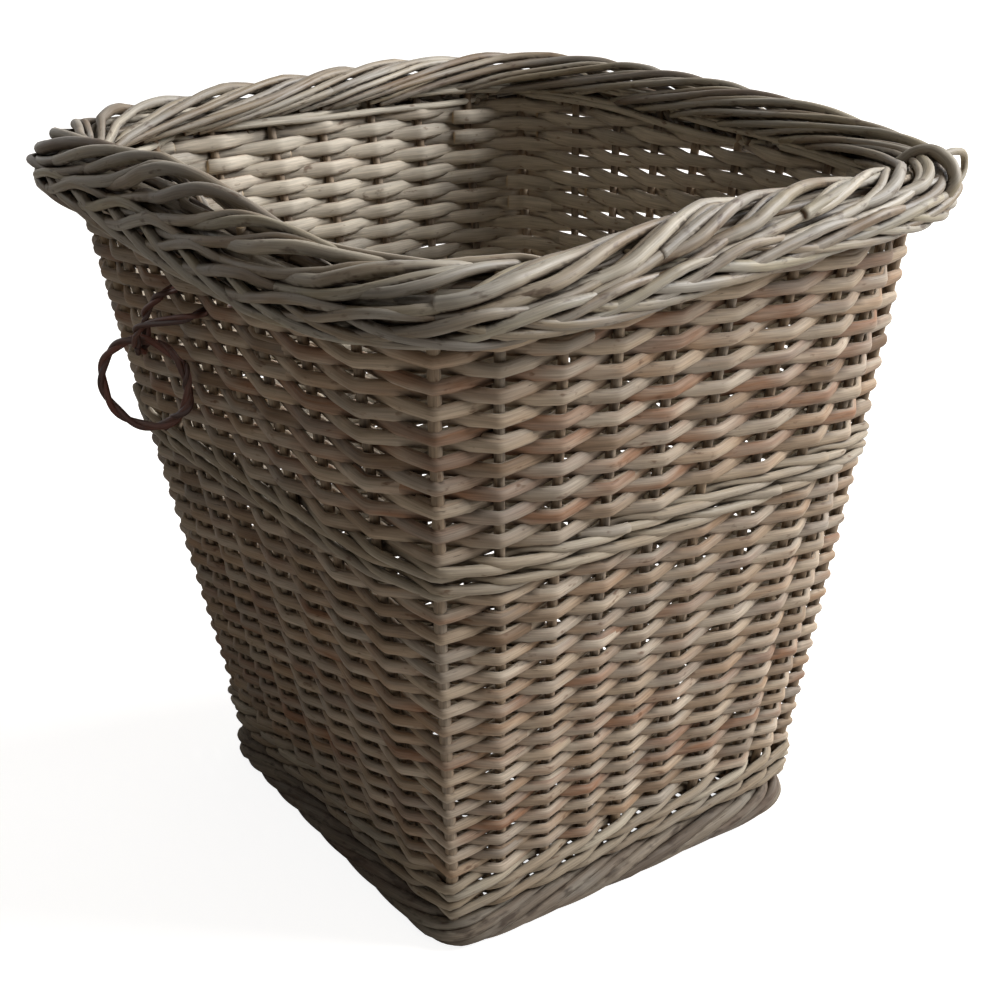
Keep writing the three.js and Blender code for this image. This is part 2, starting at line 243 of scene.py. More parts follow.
# The space that rods take up is marked on a grid of 1 mm cells, to find the hollows between them, where
# shade is painted
GRID_LOW = np.array([-160, -160, -5])
GRID_CELLS = 320  # along each side
MARKED = (0.1, 0.45, 0.8)  # where a rod is marked, from its middle to its skin
HOLLOW_REACHES = (1.1, 1.9, 2.7)  # how far off a rod's skin its neighbours are looked for
taken = np.zeros((GRID_CELLS, GRID_CELLS, GRID_CELLS), bool)

# A rod's cut end
END_REACH = 0.3  # past the end of its line, as a share of its radius
END_WORN = 0.66  # the radius of the cut's worn edge, as a share of the rod's

pieces = []  # bundles of rods, each with what it becomes


def cells(points):
    """The cells of the grid that points lie in."""
    return tuple(np.clip((points - GRID_LOW).astype(int), 0, GRID_CELLS - 1).reshape(-1, 3).T)


class Bundle:
    """The rods of one sub-part, laid one by one and then made into one mesh."""

    def __init__(self):
        self.points, self.outward, self.quads, self.grain, self.tone = [], [], [], [], []
        self.count = 0

    def lay(self, line, thick, tall=1.0, up=(0, 0, 1), sides=ROD_SIDES, knots=True):
        """Lays a rod of the given diameters along a line. Tall is its height over its depth, where
        it was pressed flat, and up is the direction that its height lies in."""
        line = np.asarray(line, float)
        run = np.concatenate([[0], np.cumsum(np.linalg.norm(np.diff(line, axis=0), axis=1))])
        radius = np.broadcast_to(np.asarray(thick, float) / 2, (len(line),)).copy()
        press = np.sqrt(np.broadcast_to(np.asarray(tall, float), (len(line),)))
        if knots:
            radius *= 1 + swellings(run)
        ahead = unit(np.gradient(line, axis=0))
        across = unit(np.cross(np.broadcast_to(np.asarray(up, float), line.shape), ahead))
        above = np.cross(ahead, across)
        # Each end is cut off square, with a worn edge
        first = line[0] - ahead[0] * radius[0] * END_REACH
        last = line[-1] + ahead[-1] * radius[-1] * END_REACH
        line = np.vstack([first, line, last])
        radius = np.concatenate([[radius[0] * END_WORN], radius, [radius[-1] * END_WORN]])
        press = np.concatenate([[press[0]], press, [press[-1]]])
        across = np.vstack([across[0], across, across[-1]])
        above = np.vstack([above[0], above, above[-1]])
        run = np.concatenate([[run[0] - 0.5], run, [run[-1] + 0.5]])
        angle = np.linspace(0, 2 * math.pi, sides, endpoint=False)
        deep = (radius / press)[:, None, None] * np.cos(angle)[None, :, None]
        high = (radius * press)[:, None, None] * np.sin(angle)[None, :, None]
        ring = line[:, None] + deep * across[:, None] + high * above[:, None]
        self.points.append(ring.reshape(-1, 3))
        self.outward.append(unit(ring - line[:, None]).reshape(-1, 3))
        step = np.linspace(0, 1, 4, endpoint=False)[:, None, None, None]
        skin = lerp(ring[:-1], ring[1:], step)
        middle = lerp(line[:-1, None], line[1:, None], step)
        for depth in MARKED:
            taken[cells(lerp(middle, skin, depth))] = True
        rings = len(line)
        i, j = np.meshgrid(np.arange(rings - 1), np.arange(sides), indexing="ij")
        k = (j + 1) % sides
        skin = np.stack([i * sides + j, i * sides + k, (i + 1) * sides + k, (i + 1) * sides + j], axis=-1)
        a = np.arange(sides // 2 - 1)
        start = np.stack([a, sides - 1 - a, sides - 2 - a, a + 1], axis=-1)
        end = start[:, ::-1] + (rings - 1) * sides
        quads = np.vstack([skin.reshape(-1, 4), start, end])
        self.quads.append(quads + self.count)
        self.count += rings * sides
        # The grain runs along the rod, from a chance place in the wood
        offset = chance.uniform(0, 40, 3)
        grain = np.stack([
            np.repeat(run[:, None], sides, axis=1),
            np.broadcast_to(np.cos(angle) * radius.mean(), (rings, sides)),
            np.broadcast_to(np.sin(angle) * radius.mean(), (rings, sides)),
        ], axis=-1)
        self.grain.append((grain.reshape(-1, 3) + offset * (25, 1, 1)) * MM)
        cut = np.zeros((rings, sides))
        cut[0] = cut[-1] = 1
        # How far each point faces into the basket, for rods that run round it
        inside = np.broadcast_to(0.5 + 0.5 * np.cos(angle), cut.shape)
        own = np.full(cut.size, chance.uniform(0, 1))
        self.tone.append(np.stack([own, inside.ravel(), cut.ravel()], axis=1))

    def piece(self, *about):
        """Notes what the rods become, to be made when all rods are laid."""
        pieces.append((self, about))

    def make(self, name, finish, body, stands_for, slot, lowest=None):
        """Makes the mesh and hides the nodes of the frame that it stands for. Where lowest is given,
        the rods are worn flat at that level."""
        points = np.vstack(self.points)
        outward = np.vstack(self.outward)
        # How closely other rods crowd each point, for the painted shade in the hollows between rods
        near = [taken[cells(points + reach * outward)] for reach in HOLLOW_REACHES]
        hollow_shade = sum(near) / len(near)
        if lowest is not None:
            points[:, 2] = np.maximum(points[:, 2], lowest)
        quads = np.vstack(self.quads).astype(np.int32)
        mesh = bpy.data.meshes.new(name)
        mesh.vertices.add(len(points))
        mesh.vertices.foreach_set("co", (points * MM).astype(np.float32).ravel())
        mesh.loops.add(quads.size)
        mesh.loops.foreach_set("vertex_index", quads.ravel())
        mesh.polygons.add(len(quads))
        mesh.polygons.foreach_set("loop_start", np.arange(0, quads.size, 4, dtype=np.int32))
        mesh.update(calc_edges=True)
        mesh.shade_smooth()
        for label, values in (("grain", self.grain), ("tone", self.tone)):
            layer = mesh.attributes.new(label, "FLOAT_VECTOR", "POINT")
            layer.data.foreach_set("vector", np.vstack(values).astype(np.float32).ravel())
        layer = mesh.attributes.new("hollow_shade", "FLOAT", "POINT")
        layer.data.foreach_set("value", hollow_shade.astype(np.float32))
        mesh.materials.append(finish)
        thing = bpy.data.objects.new(name, mesh)
        bpy.context.scene.collection.objects.link(thing)
        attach(thing, body)
        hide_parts(*stands_for)


def swellings(run):
    """The slight swelling of a willow rod at each bud, and its uneven growth in between."""
    swell = np.zeros(len(run))
    bud_reach = 2.2
    bud = chance.uniform(0, 30)
    while bud < run[-1]:
        swell += chance.uniform(0.03, 0.1) * np.exp(-(((run - bud) / bud_reach) ** 2))
        bud += chance.uniform(22, 60)
    return swell + wander(run, 70, 0.02, chance.integers(1e6))


def tapered(count, butt, tip):
    """Diameters from a rod's butt to its tip, or the other way round."""
    thick = np.linspace(butt, tip, count)
    return thick if chance.random() < 0.5 else thick[::-1]


# The weave of the wall

def row_drift(stake, row):
    """How far a row strays up or down from its level."""
    return wander(stake + row * 0.6, UPRIGHTS / 2, 0.6, 100) + wander(stake, 5, 0.09, 300 + row)


def looseness(stake, row):
    """How open the weave is, from 0 to 1. It is in patches of the back, where light comes through."""
    back = np.clip(PER_SIDE / 2 - np.abs(stake % UPRIGHTS - 1.5 * PER_SIDE), 0, 1)
    patches = np.clip(0.45 + wander(stake + row * 0.7, 4, 1.1, 77), 0, 1)
    return back * patches


def bent_round(phase):
    """The in and out of a rod under tension: nearly straight between uprights, bent round each."""
    tight = 0.988
    return np.arcsin(tight * np.cos(math.pi * phase)) / math.asin(tight)


def randing(bundle, band, rows, first, closer=0.0):
    """Single-rod weave: each row goes in front of one upright and behind the next, and the row
    above does the opposite. First is the number of rows below. Each round is two rods, which meet
    inside the wall. Closer is how much tighter than the average the lowest rows lie."""
    low, high = band
    share = (np.arange(rows) + 0.5) / rows
    levels = lerp(low, high, share * (1 - closer * (1 - share)))
    for row, level in enumerate(levels):
        tall = SIDING_TALL * (high - low) / rows * (1 - closer * (1 - 2 * share[row]))
        start = chance.integers(0, UPRIGHTS)
        half = UPRIGHTS // 2 + chance.integers(-4, 5)
        for begin, end in ((start, start + half), (start + half, start + UPRIGHTS)):
            parity = first + row
            begin += (begin + parity) % 2  # both ends lie behind an upright
            end += (end + parity) % 2
            stake = np.add.outer(np.arange(begin - 2, end + 1), BAY_STEPS).ravel()
            stake = stake[(stake > begin - 1.3) & (stake < end + 0.3)]
            bend = -bent_round(stake + parity)
            begun = np.minimum((stake - stake[0]) / TUCK_BAYS, 1)
            ends = begun * np.minimum((stake[-1] - stake) / TUCK_BAYS, 1)
            corner = np.abs((stake + PER_SIDE / 2) % PER_SIDE - PER_SIDE / 2)
            flat = 1 - CORNER_FLAT * np.exp(-(corner / CORNER_REACH) ** 2)
            bend = np.where(bend > 0, bend * flat, bend)
            out = bend * ((STAKE_D + SIDING_DEEP) / 2 - BITE) - (1 - ends) * TUCK_IN
            loose = looseness(stake, row)
            z = level + row_drift(stake, row) + (1 - ends) * TUCK_UP - out * (LEAN - 0.24 * loose)
            # Behind the uprights rods are pressed broader, and less so where the weave is loose
            behind = np.clip(0.6 - bend, 0, 1)
            broad = (1 + (0.3 - 0.14 * loose) * behind) * (1 - 0.04 * loose)
            high_there = tapered(len(stake), tall * 1.03, tall * 0.97) * broad
            bundle.lay(in_wall(stake, z, out), np.sqrt(high_there * SIDING_DEEP), high_there / SIDING_DEEP)


def waling(bundle, band, thick, lean, seed):
    """Weave of three rods side by side: each goes in front of two uprights and behind the next.
    Lean is how far a rod climbs, or falls, while it lies outside."""
    low, high = band
    pitch = (high - low) / WALE_ROUNDS
    side = (STAKE_D + thick) / 2
    period = 3
    outside = period - 1
    for turn in range(WALE_ROUNDS):
        level = low + pitch * (turn + 0.5)
        for rod in range(period):
            start = rod + period * chance.integers(0, 9)
            stake = np.linspace(start - 0.6, start + UPRIGHTS + 0.4, UPRIGHTS * STEPS_PER_BAY)
            phase = (stake - rod + 0.5) % period
            out = np.interp(phase, [0, 0.5, outside - 0.5, outside, outside + 0.5, period],
                            [0, side, side, 0, -side, 0])
            climb = np.interp(phase, [0, outside, period], [-1, 1, -1])
            z = level + soften(climb) * lean + wander(stake, 9, 0.35, seed + 10 * turn + rod)
            d = tapered(len(stake), thick * 1.08, thick * 0.88)
            bundle.lay(in_wall(stake, z, soften(out)), d, 1.08)


def soften(values):
    """Takes the corners off a line of values."""
    reach = 3
    kernel = np.hanning(2 * reach + 1)
    padded = np.pad(values, reach, mode="edge")
    return np.convolve(padded, kernel / kernel.sum(), mode="valid")


def wale_top():
    """The top wale, which the border hides outside: its rods lie along the inside for six uprights
    at a time, climbing slowly."""
    wale = Bundle()
    low, high = TOP_WALE
    inside = 6
    rods = 4
    for rod in range(rods):
        start = rod * 2.5
        stake = np.linspace(start, start + UPRIGHTS + 1, UPRIGHTS * STEPS_PER_BAY)
        phase = (stake - start) % inside
        out = np.interp(phase, [0, 0.5, 1, 1.6, inside], [3.4, 3.4, 0, -3.9, -4.4])
        level = lerp(low, high, rod / (rods - 1)) + 1.5
        climb = np.interp(phase, [0, 1, inside], [1.6, -1.6, 1.6])
        z = level + soften(climb) + wander(stake, 7, 0.5, 3100 + rod)
        wale.lay(in_wall(stake, z, soften(out)), tapered(len(stake), 3.6, 2.8))
    return wale


def weave_wall():
    lower = Bundle()
    randing(lower, LOWER_SIDING, LOWER_ROWS, 0, closer=LOWER_CLOSER)
    lower.piece("lower_siding_rods", siding_willow(), "basket", ["lower_siding"], "siding_willow")
    upper = Bundle()
    randing(upper, UPPER_SIDING, UPPER_ROWS, LOWER_ROWS)
    upper.piece("upper_siding_rods", siding_willow(), "basket", ["upper_siding"], "siding_willow")
    base = Bundle()
    waling(base, BASE_WALE, BASE_WALE_D, BASE_WALE_LEAN, 1000)
    base.piece("base_wale_rods", wale_willow(), "basket", ["base_wale"], "wale_willow")
    middle = Bundle()
    waling(middle, MIDDLE_WALE, MIDDLE_WALE_D, MIDDLE_WALE_LEAN, 2000)
    middle.piece("middle_wale_rods", wale_willow(), "basket", ["middle_wale"], "wale_willow")
    wale_top().piece("top_wale_rods", wale_willow(), "basket", ["top_wale"], "wale_willow")


def set_uprights():
    """Stakes and corner posts, from inside the foot up into the border, each slightly crooked."""
    finish = stake_willow()
    for number in range(UPRIGHTS):
        side, place = divmod(number, PER_SIDE)
        corner = place == PER_SIDE - 1
        node = f"corner_post_{CORNERS[side]}" if corner else f"stake_{SIDES[side]}_{place + 1}"
        thick, proud = (POST_D, POST_PROUD) if corner else (STAKE_D, STAKE_PROUD)
        z = np.linspace(WALL_BOTTOM - 4, WALL_TOP, 60)
        stake = number + 1 + wander(z, 120, 0.012, 5000 + number)
        line = in_wall(stake, z, wander(z, 90, 0.15, 6000 + number) + proud)
        halfway = line[len(line) // 2]
        outward = halfway - (0, MIDDLE_Y, halfway[2])
        rod = Bundle()
        rod.lay(line, np.linspace(thick * 1.06, thick * 0.97, len(z)), up=outward)
        rod.piece(f"{node}_rod", finish, "basket", [node], "stake_willow")


# The border

CORE_ROD_D = 4.4


def border_rods(bundle, path, butt, tip, shift, strays, seed):
    """One family of border rods, one for each upright, all bent the same way. Each path point is
    how many uprights along, how far outside the wall's face, and how high."""
    for number in range(UPRIGHTS):
        dice = np.random.default_rng(seed + number)
        points = smooth_line(path, STEPS_PER_SPAN)
        t = np.linspace(0, 1, len(points))
        steep = dice.uniform(0.92, 1.08)
        stake = number + shift + points[:, 0] * steep + dice.uniform(-0.14, 0.14)
        out = points[:, 1] + wander(t, 1.5, strays, seed * 3 + number)
        z = points[:, 2] + wander(t, 1.5, strays, seed * 5 + number)
        taper = np.interp(t, [0, 0.42, 0.65, 1], [butt, butt, lerp(butt, tip, 0.75), tip])
        bundle.lay(in_border(stake, z, out), dice.uniform(0.84, 1.1) * taper, sides=BORDER_ROD_SIDES)


def core_rods(bundle, places, apart, strays_out, strays_up, seed):
    """Rods that go round inside the border and fill it. Each place is how far outside the wall's
    face a rod lies, and how high. Each starts so many uprights after the one before."""
    for number, (out, level) in enumerate(places):
        start = number * apart
        stake = np.linspace(start, start + UPRIGHTS + 1, STEPS_ROUND)
        z = level + wander(stake, 6, strays_up, seed + number)
        bundle.lay(in_border(stake, z, out + wander(stake, 5, strays_out, number)), CORE_ROD_D)


def lay_plait():
    """The border's lower half. Each stake comes up, goes out under the roll and sweeps along the
    lower edge, and the next family of rods hooks up over it."""
    plait = Bundle()
    edge = [
        (-1.6, -4, 276), (-1.1, 0, 282), (-0.5, 6, 283), (0, 8.6, 279.5), (0.5, 9.4, 276),
        (1.1, 9, 273.2), (1.7, 7.2, 271.8), (2.2, 4.2, 271.4), (2.7, 0, 272.5), (3.1, -4, 276),
    ]
    border_rods(plait, edge, 4.1, 3.5, 0.3, 0.35, 11000)
    hook = [
        (-2.1, 0, 271.5), (-1.4, 4.6, 271.8), (-0.7, 7.6, 274), (-0.1, 9.3, 277.4), (0.35, 10.5, 281.2),
        (0.8, 10.7, 284.3), (1.2, 9.4, 284), (1.7, 6, 281.5), (2.3, 0, 280.5), (2.8, -4, 280),
    ]
    border_rods(plait, hook, 4.1, 3.2, 0.8, 0.35, 12000)
    core_rods(plait, [(2, 280), (1.5, 275), (3, 284)], 7, 0.5, 0.8, 13000)
    plait.piece("border_plait_rods", border_willow(), "basket", ["border_plait"], "border_willow")


def lay_roll():
    """The border's upper half. Rods come up outside, lean over the crest side by side and end within."""
    roll = Bundle()
    shoulder = [
        (-1.7, -3, 277), (-1, 2.6, 279), (-0.4, 6.2, 281), (0.3, 8.6, 283.6), (0.8, 8.9, 286.2),
        (1.3, 7.4, 289), (1.75, 4.6, 292.8), (2.15, 0.8, 295.6), (2.6, -3.4, 295.8), (3.2, -7.8, 293.2),
        (3.9, -10.2, 289.6), (4.5, -9.5, 285.5), (5, -6, 282),
    ]
    border_rods(roll, shoulder, 4.1, 2.9, 0, 0.8, 14000)
    crest = [
        (-1.3, -2, 283), (-0.6, 3.4, 286), (0, 6.4, 288.6), (0.4, 7.2, 291), (0.8, 5.2, 294.6),
        (1.2, 1.8, 297), (1.7, -2.4, 297.2), (2.3, -6.8, 295), (3, -10, 292), (3.8, -11.5, 288.6),
        (4.6, -10, 284.5), (5.1, -6, 281),
    ]
    border_rods(roll, crest, 4.6, 2.9, 0.35, 0.8, 15000)
    for path, butt, tip in odd_rods():
        stake, out, z = smooth_line(path, STEPS_PER_SPAN).T
        roll.lay(in_border(stake, z, out), np.linspace(butt, tip, len(z)), sides=BORDER_ROD_SIDES)
    core_rods(roll, [(-4, 288), (0, 286)], 9, 0.6, 0.6, 16000)
    roll.piece("border_roll_rods", border_willow(), "basket", ["border_roll"], "border_willow")


def odd_rods():
    """Rods that follow no pattern, each with its path and its diameters: a stout one that starts
    blunt at the near corner, two that start in sight on the lit side, one that hooks over the far
    corner, and a thin loop outside it."""
    stout = [
        (0.1, 7.8, 288), (0.45, 8.5, 290.2), (0.9, 7.5, 293), (1.4, 4.7, 296), (2, 0.5, 297.6),
        (2.8, -5, 296), (3.6, -10, 291),
    ]
    odd = [(stout, 5.5, 3.6)]
    for place in (3.3, 5.5):
        short = [
            (place, 7.4, 290.5), (place + 0.4, 6, 294), (place + 1, 2.4, 296.5), (place + 2, -4, 294.5),
        ]
        odd.append((short, 4.2, 3.6))
    over = [
        (8.75, -7, 293), (8.7, -2, 299.5), (8.6, 3.5, 301), (8.45, 8.5, 297), (8.3, 10.8, 290),
        (8.2, 9.5, 283),
    ]
    odd.append((over, 5.6, 5))
    loop = [
        (8.5, 2, 296), (8.85, 7, 299.5), (9.05, 11, 298.5), (9.15, 13, 294), (9.1, 12.8, 288),
        (8.95, 10, 282),
    ]
    odd.append((loop, 3, 2.6))
    return odd


# The foot and the base

FOOT_MIDDLE_HALF = 89.5  # from the basket's middle to the middle of the foot's rope
FOOT_MIDDLE_Z = 7.6
FOOT_ROPE = (4.5, 5)  # how far its rods lie from that middle, sideways and upwards
FOOT_ROD_D = 5.4
FOOT_CORE_D = 7
FOOT_ROD_LENGTH = 6  # in uprights
FOOT_WIND = 150  # degrees that each rod winds round the rope, before and after its outermost point


def roll_foot():
    """The foot: a rope of rods that wind round together, one for each upright, worn flat below."""
    foot = Bundle()
    for number in range(UPRIGHTS):
        dice = np.random.default_rng(20000 + number)
        t = np.linspace(0, 1, 60)
        stake = number + t * FOOT_ROD_LENGTH + dice.uniform(-0.1, 0.1)
        turn = np.radians(lerp(-FOOT_WIND, FOOT_WIND, t) + dice.uniform(-6, 6))
        out = FOOT_ROPE[0] * np.cos(turn)
        z = FOOT_MIDDLE_Z + FOOT_ROPE[1] * np.sin(turn)
        d = FOOT_ROD_D * dice.uniform(0.9, 1.08) * np.linspace(1.06, 0.88, len(t))
        foot.lay(on_plan(stake, z, FOOT_MIDDLE_HALF + out, BASE_SQUARE), d)
    stake = np.linspace(0, UPRIGHTS + 1, STEPS_ROUND)
    level = np.full(STEPS_ROUND, FOOT_MIDDLE_Z)
    half = np.full(STEPS_ROUND, FOOT_MIDDLE_HALF)
    foot.lay(on_plan(stake, level, half, BASE_SQUARE), FOOT_CORE_D)
    foot.piece("foot_rods", foot_willow(), "basket", ["foot_border"], "foot_willow", FLOOR)


BASE_REACH = 82  # from the base's middle to where it is held in the foot
BASE_STICKS = 6
BASE_STICK_D = 5.4
STICK_END = BASE_REACH - 3
STICKS_SPREAD = BASE_REACH * 0.92
BASE_ROWS = 42
BASE_WEAVER_BUTT = 3.8
BASE_WEAVER_TIP = 3.3
BASE_WEAVER_TALL = 3  # where it is pressed over a stick
BASE_WEAVER_END = BASE_REACH - 1


def on_base(x, y, z):
    """Points of the base, turned and shifted with it."""
    c, s = math.cos(BASE_TURN), math.sin(BASE_TURN)
    return np.stack([
        x * c - y * s + BASE_SHIFT[0],
        x * s + y * c + BASE_SHIFT[1] + MIDDLE_Y,
        np.broadcast_to(z, np.shape(x)),
    ], axis=1)


def weave_base():
    """Six stout sticks from front to back, and rods woven through them from side to side."""
    finish = base_willow()
    places = [((2 * i + 1) / BASE_STICKS - 1) * STICKS_SPREAD for i in range(BASE_STICKS)]
    for i, x in enumerate(places):
        y = np.linspace(-STICK_END, STICK_END, 40)
        stick = Bundle()
        stick.lay(on_base(x + wander(y, 100, 0.3, 21000 + i), y, BASE_LEVEL), BASE_STICK_D)
        stick.piece(f"base_stick_{i + 1}_rod", finish, "basket", [f"base_stick_{i + 1}"], "base_willow")
    weave = Bundle()
    gap = places[1] - places[0]
    side = (BASE_STICK_D + BASE_WEAVER_TALL) / 2 - 2 * BITE
    for row in range(BASE_ROWS):
        y = lerp(-STICK_END, STICK_END, row / (BASE_ROWS - 1))
        x = np.linspace(-BASE_WEAVER_END, BASE_WEAVER_END, 70)
        height = side * np.cos(math.pi * ((x - places[0]) / gap + row))
        line = on_base(x, y + wander(x, 80, 0.3, 22000 + row), BASE_LEVEL + height)
        d = np.linspace(BASE_WEAVER_BUTT, BASE_WEAVER_TIP, len(x)) * chance.uniform(0.93, 1.05)
        weave.lay(line, d, 0.8)
    weave.piece("base_weave_rods", finish, "basket", ["base_weave"], "base_willow")


# The ring handle and its loop

RING_R = 17.2
RING_X = -29.5
RING_Z = 217.6
RING_TURN = math.radians(38)
RING_STRAND_D = 2.6
RING_STEPS = 160
RING_JOIN = 0.9  # the angle where each strand begins and ends
LOOP_STRAND_D = 2.1
LOOP_BEND = 4.5  # the radius of the loop round the ring's rod
LOOP_LEFT_X = -23  # where each end goes through the weave
LOOP_RIGHT_X = -3.5
ring_low, ring_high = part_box("ring_handle")
RING_MIDDLE = np.array([RING_X, (ring_low.y + ring_high.y) / 2 / MM, RING_Z])


def twisted(line, apart, turns, start, up):
    """One strand of a twisted rod: it winds round the line, so many times over its length."""
    ahead = unit(np.gradient(line, axis=0))
    across = unit(np.cross(np.broadcast_to(np.asarray(up, float), line.shape), ahead))
    above = np.cross(ahead, across)
    angle = start + np.linspace(0, turns * 2 * math.pi, len(line))
    return line + apart * (np.cos(angle)[:, None] * across + np.sin(angle)[:, None] * above)


def on_ring(angle, radius):
    """Points of a circle in the ring's plane."""
    across = np.array([math.cos(RING_TURN), math.sin(RING_TURN), 0])
    return RING_MIDDLE + radius * (np.cos(angle)[:, None] * across + np.sin(angle)[:, None] * (0, 0, 1))


def bend_ring():
    """The ring: a rod bent into a circle, its ends wound round it, with its bark on."""
    face = np.array([-math.sin(RING_TURN), math.cos(RING_TURN), 0])
    ring = Bundle()
    for k in range(2):
        line = on_ring(np.linspace(0, 2 * math.pi, RING_STEPS) + RING_JOIN, RING_R)
        ring.lay(twisted(line, 0.7, 5, k * math.pi, face), RING_STRAND_D, up=face, knots=False)
    end = on_ring(np.linspace(-1.25, 0.5, 50), RING_R + 0.3)
    ring.lay(twisted(end, 1.5, 2, 0.5, face), np.linspace(2.4, 1.8, 50), up=face, knots=False)
    ring.piece("ring_handle_rod", bark_withy(), "ring", ["ring_handle"], "bark_withy")


def tie_loop():
    """The withy that goes through the weave on either side of a stake and under the ring's rod."""
    across = np.array([math.sin(RING_TURN), -math.cos(RING_TURN), 0])
    top = RING_MIDDLE + (0, 0, RING_R)

    def round_rod(degrees, along, up):
        """A point on the loop's way round the ring's rod, moved along the wall and up."""
        a = math.radians(degrees)
        return top + across * LOOP_BEND * math.cos(a) + np.array([along, 0, LOOP_BEND * math.sin(a) + up])

    def through_wall(x, z, inset):
        """A point of the wall's front side, so far inside its outer face."""
        half, square = wall_outline(z)
        half = half - inset
        left = 1 - rise(z)
        y = -half * (1 - abs((x - BASE_SHIFT[0] * left) / half) ** square) ** (1 / square)
        return np.array([x, y + BASE_SHIFT[1] * left + MIDDLE_Y, z])

    points = [
        through_wall(LOOP_RIGHT_X, 250, WALL + 4),
        through_wall(LOOP_RIGHT_X, 250, WALL / 2),
        through_wall(LOOP_RIGHT_X, 249, -3.5),
        round_rod(0, 5, 8),
        *[round_rod(-45 * k, 0, 0) for k in range(5)],
        round_rod(-180, 1, 9),
        through_wall(LOOP_LEFT_X, 252, -2.5),
        through_wall(LOOP_LEFT_X, 254, WALL / 2),
        through_wall(LOOP_LEFT_X, 254, WALL + 4),
    ]
    line = smooth_line(points, STEPS_PER_SPAN)
    up = (0.2, 0.3, 0.9)
    loop = Bundle()
    for k in range(2):
        loop.lay(twisted(line, 0.8, 4, k * math.pi, up), LOOP_STRAND_D, up=up, knots=False)
    loop.piece("ring_loop_withy", bark_withy(), "basket", ["ring_loop"], "bark_withy")


# Finishes

def linear(colour):
    """An sRGB hex colour as linear RGBA."""
    rgb = [int(colour[i:i + 2], 16) / 255 for i in (1, 3, 5)]
    return [c / 12.92 if c <= 0.04045 else ((c + 0.055) / 1.055) ** 2.4 for c in rgb] + [1]


def add(tree, kind, links, stops=(), **settings):
    """Adds a node with its settings, what feeds each of its sockets, and a ramp's colour stops."""
    node = tree.nodes.new(kind)
    for name, value in settings.items():
        setattr(node, name, value)
    for socket, source in links.items():
        if isinstance(source, bpy.types.NodeSocket):
            tree.links.new(source, node.inputs[socket])
        else:
            node.inputs[socket].default_value = source
    for number, colour in enumerate(stops):
        elements = node.color_ramp.elements
        element = elements[number] if number < 2 else elements.new(1)
        element.position = number / (len(stops) - 1)
        element.color = linear(colour)
    return node


